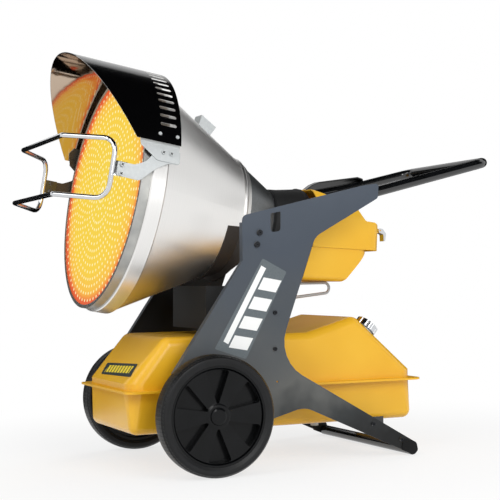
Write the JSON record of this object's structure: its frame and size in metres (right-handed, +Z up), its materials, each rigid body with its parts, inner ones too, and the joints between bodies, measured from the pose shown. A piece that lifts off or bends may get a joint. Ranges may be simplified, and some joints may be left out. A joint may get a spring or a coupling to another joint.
{
  "type": "infrared heater",
  "caption": "Wheeled oil-fired infrared heater: hooded radiant disc and burner cone over a fuel tank, between two side plates with a push handle.",
  "frame": {"origin": "middle of the overall footprint, on the ground", "axes": "+X to the heater's left, seen from the handle looking forward; +Y from the radiant disc to the push handle; +Z up"},
  "size_m": [0.6584, 1.2625, 1.0724],
  "materials": {
    "slate_paint": "satin powder coat",
    "black_paint": "gloss black paint",
    "black_plastic": "moulded",
    "tyre_rubber": "solid rubber",
    "tank_yellow": "gloss yellow paint",
    "plated_steel": "zinc plated",
    "stainless": "satin stainless sheet",
    "rim_steel": "heat tinted",
    "chrome": "bright chrome",
    "dark_screws": "blackened steel",
    "glowing_disc": "glowing steel",
    "mineral_wool": "pressed fibre",
    "brass_fittings": "machined",
    "ceramic": "glazed",
    "hose_braid": "braided",
    "motor_paint": "satin",
    "cast_alloy": "die cast",
    "red_plastic": "moulded"
  },
  "bodies": {
    "chassis": {"side_plate_left": "slate_paint", "side_plate_right": "slate_paint", "foot_bar": "black_paint", "foot_caps": "black_plastic", "handle": "black_paint", "cord_hook": "black_plastic", "plate_screws": "dark_screws", "tank_rails": "black_paint", "stub_axles": "plated_steel", "axle_sleeves": "plated_steel", "tank_upper": "tank_yellow", "tank_lower": "tank_yellow", "filler_neck": "plated_steel", "fuel_gauge": "black_plastic", "suction_pipe": "plated_steel", "drain_plug": "plated_steel", "fuel_hose": "hose_braid", "fuel_filter": "brass_fittings", "radiant_disc": "glowing_disc", "rim_ring": "rim_steel", "head_band": "stainless", "front_cone": "stainless", "clamp_bead": "stainless", "rear_cone": "stainless", "inner_chamber": "rim_steel", "insulation": "mineral_wool", "sensor_box": "stainless", "hood": "black_paint", "hood_brackets": "plated_steel", "guard_strap_left": "plated_steel", "guard_strap_right": "plated_steel", "guard": "chrome", "head_screws": "chrome", "head_cradle": "black_paint", "blast_tube": "plated_steel", "flame_diffuser": "rim_steel", "oil_nozzle": "brass_fittings", "electrodes": "ceramic", "fan_housing": "black_paint", "fan_motor": "motor_paint", "fuel_pump": "cast_alloy", "ignition_transformer": "motor_paint", "lower_cover": "tank_yellow", "cover_hinge": "black_paint", "control_box": "black_paint", "pilot_lamp": "red_plastic", "power_inlet": "black_plastic"},
    "wheel_left_assembly": {"wheel_left": "black_plastic", "tyre_left": "tyre_rubber", "hub_cap_left": "black_plastic"},
    "wheel_right_assembly": {"wheel_right": "black_plastic", "tyre_right": "tyre_rubber", "hub_cap_right": "black_plastic"},
    "fan": {"fan_wheel": "plated_steel"},
    "cover": {"upper_cover": "tank_yellow"},
    "latch_lever_left": {"latch_left": "chrome"},
    "latch_lever_right": {"latch_right": "chrome"},
    "cap": {"fuel_cap": "chrome"},
    "rocker": {"power_switch": "red_plastic"},
    "knob": {"thermostat_knob": "black_plastic"}
  },
  "joints": [
    {"name": "wheel_left_spin", "type": "hinge", "parent": "chassis", "child": "wheel_left_assembly", "pos_m": [0.3005, -0.26313, 0.15], "axis": [1, 0, 0], "continuous": true},
    {"name": "wheel_right_spin", "type": "hinge", "parent": "chassis", "child": "wheel_right_assembly", "pos_m": [-0.3005, -0.26313, 0.15], "axis": [1, 0, 0], "continuous": true},
    {"name": "fan_spin", "type": "hinge", "parent": "chassis", "child": "fan", "pos_m": [0, 0.1478, 0.60365], "axis": [0, 0.9818, -0.1902], "continuous": true},
    {"name": "cover_hinge_turn", "type": "hinge", "parent": "chassis", "child": "cover", "pos_m": [0, 0.13602, 0.71848], "axis": [1, 0, 0], "range_deg": [0, 70]},
    {"name": "latch_left_turn", "type": "hinge", "parent": "cover", "child": "latch_lever_left", "pos_m": [0.085, 0.33238, 0.60181], "axis": [1, 0, 0], "range_deg": [0, 70]},
    {"name": "latch_right_turn", "type": "hinge", "parent": "cover", "child": "latch_lever_right", "pos_m": [-0.085, 0.33238, 0.60181], "axis": [1, 0, 0], "range_deg": [0, 70]},
    {"name": "fuel_cap_turn", "type": "hinge", "parent": "chassis", "child": "cap", "pos_m": [0.116, 0.25713, 0.32879], "axis": [0, 0.666, 0.7459], "range_deg": [0, 90]},
    {"name": "power_switch_rock", "type": "hinge", "parent": "chassis", "child": "rocker", "pos_m": [-0.07, -0.06695, 0.41305], "axis": [1, 0, 0], "range_deg": [0, 14]},
    {"name": "thermostat_turn", "type": "hinge", "parent": "chassis", "child": "knob", "pos_m": [-0.01, -0.06695, 0.41305], "axis": [0, 0.9995, -0.0308], "range_deg": [-135, 135]}
  ]
}
